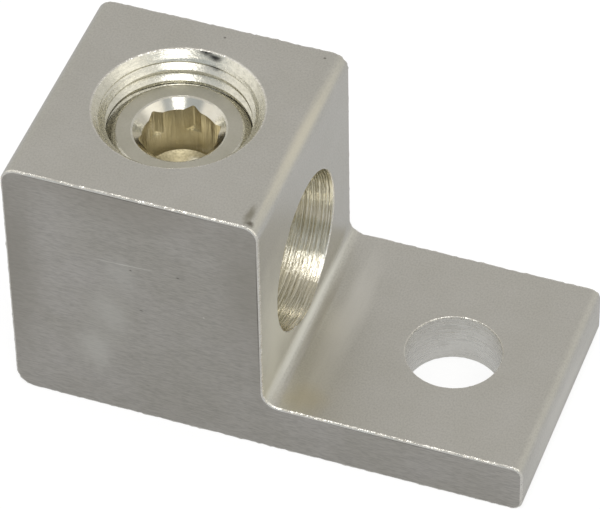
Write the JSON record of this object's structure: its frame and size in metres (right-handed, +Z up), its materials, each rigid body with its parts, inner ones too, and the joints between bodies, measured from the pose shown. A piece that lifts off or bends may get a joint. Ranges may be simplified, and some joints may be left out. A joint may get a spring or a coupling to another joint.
{
  "type": "set screw cable lug",
  "caption": "L-shaped aluminium cable lug: a block with a conductor bore, a hexagon socket set screw clamping down into it, and a flat tongue with a stud hole.",
  "frame": {"origin": "centre of the stud hole on the flat mounting face under the tongue", "axes": "+X from the stud hole towards the tongue's tip, away from the cable side; +Z up out of the mounting face; +Y completes the right-handed frame"},
  "size_m": [0.0587, 0.0286, 0.033],
  "materials": {
    "tin_plated_extrusion": "satin tin plate over extruded and sawn aluminium",
    "tin_plated_screw": "satin tin plate over turned aluminium"
  },
  "bodies": {
    "lug_body": {"lug_body": "tin_plated_extrusion"},
    "set_screw": {"set_screw": "tin_plated_screw"}
  },
  "joints": [
    {"name": "set_screw_travel", "type": "slide", "parent": "lug_body", "child": "set_screw", "axis": [0, 0, 1], "range_m": [-0.00317, 0.01111]}
  ]
}
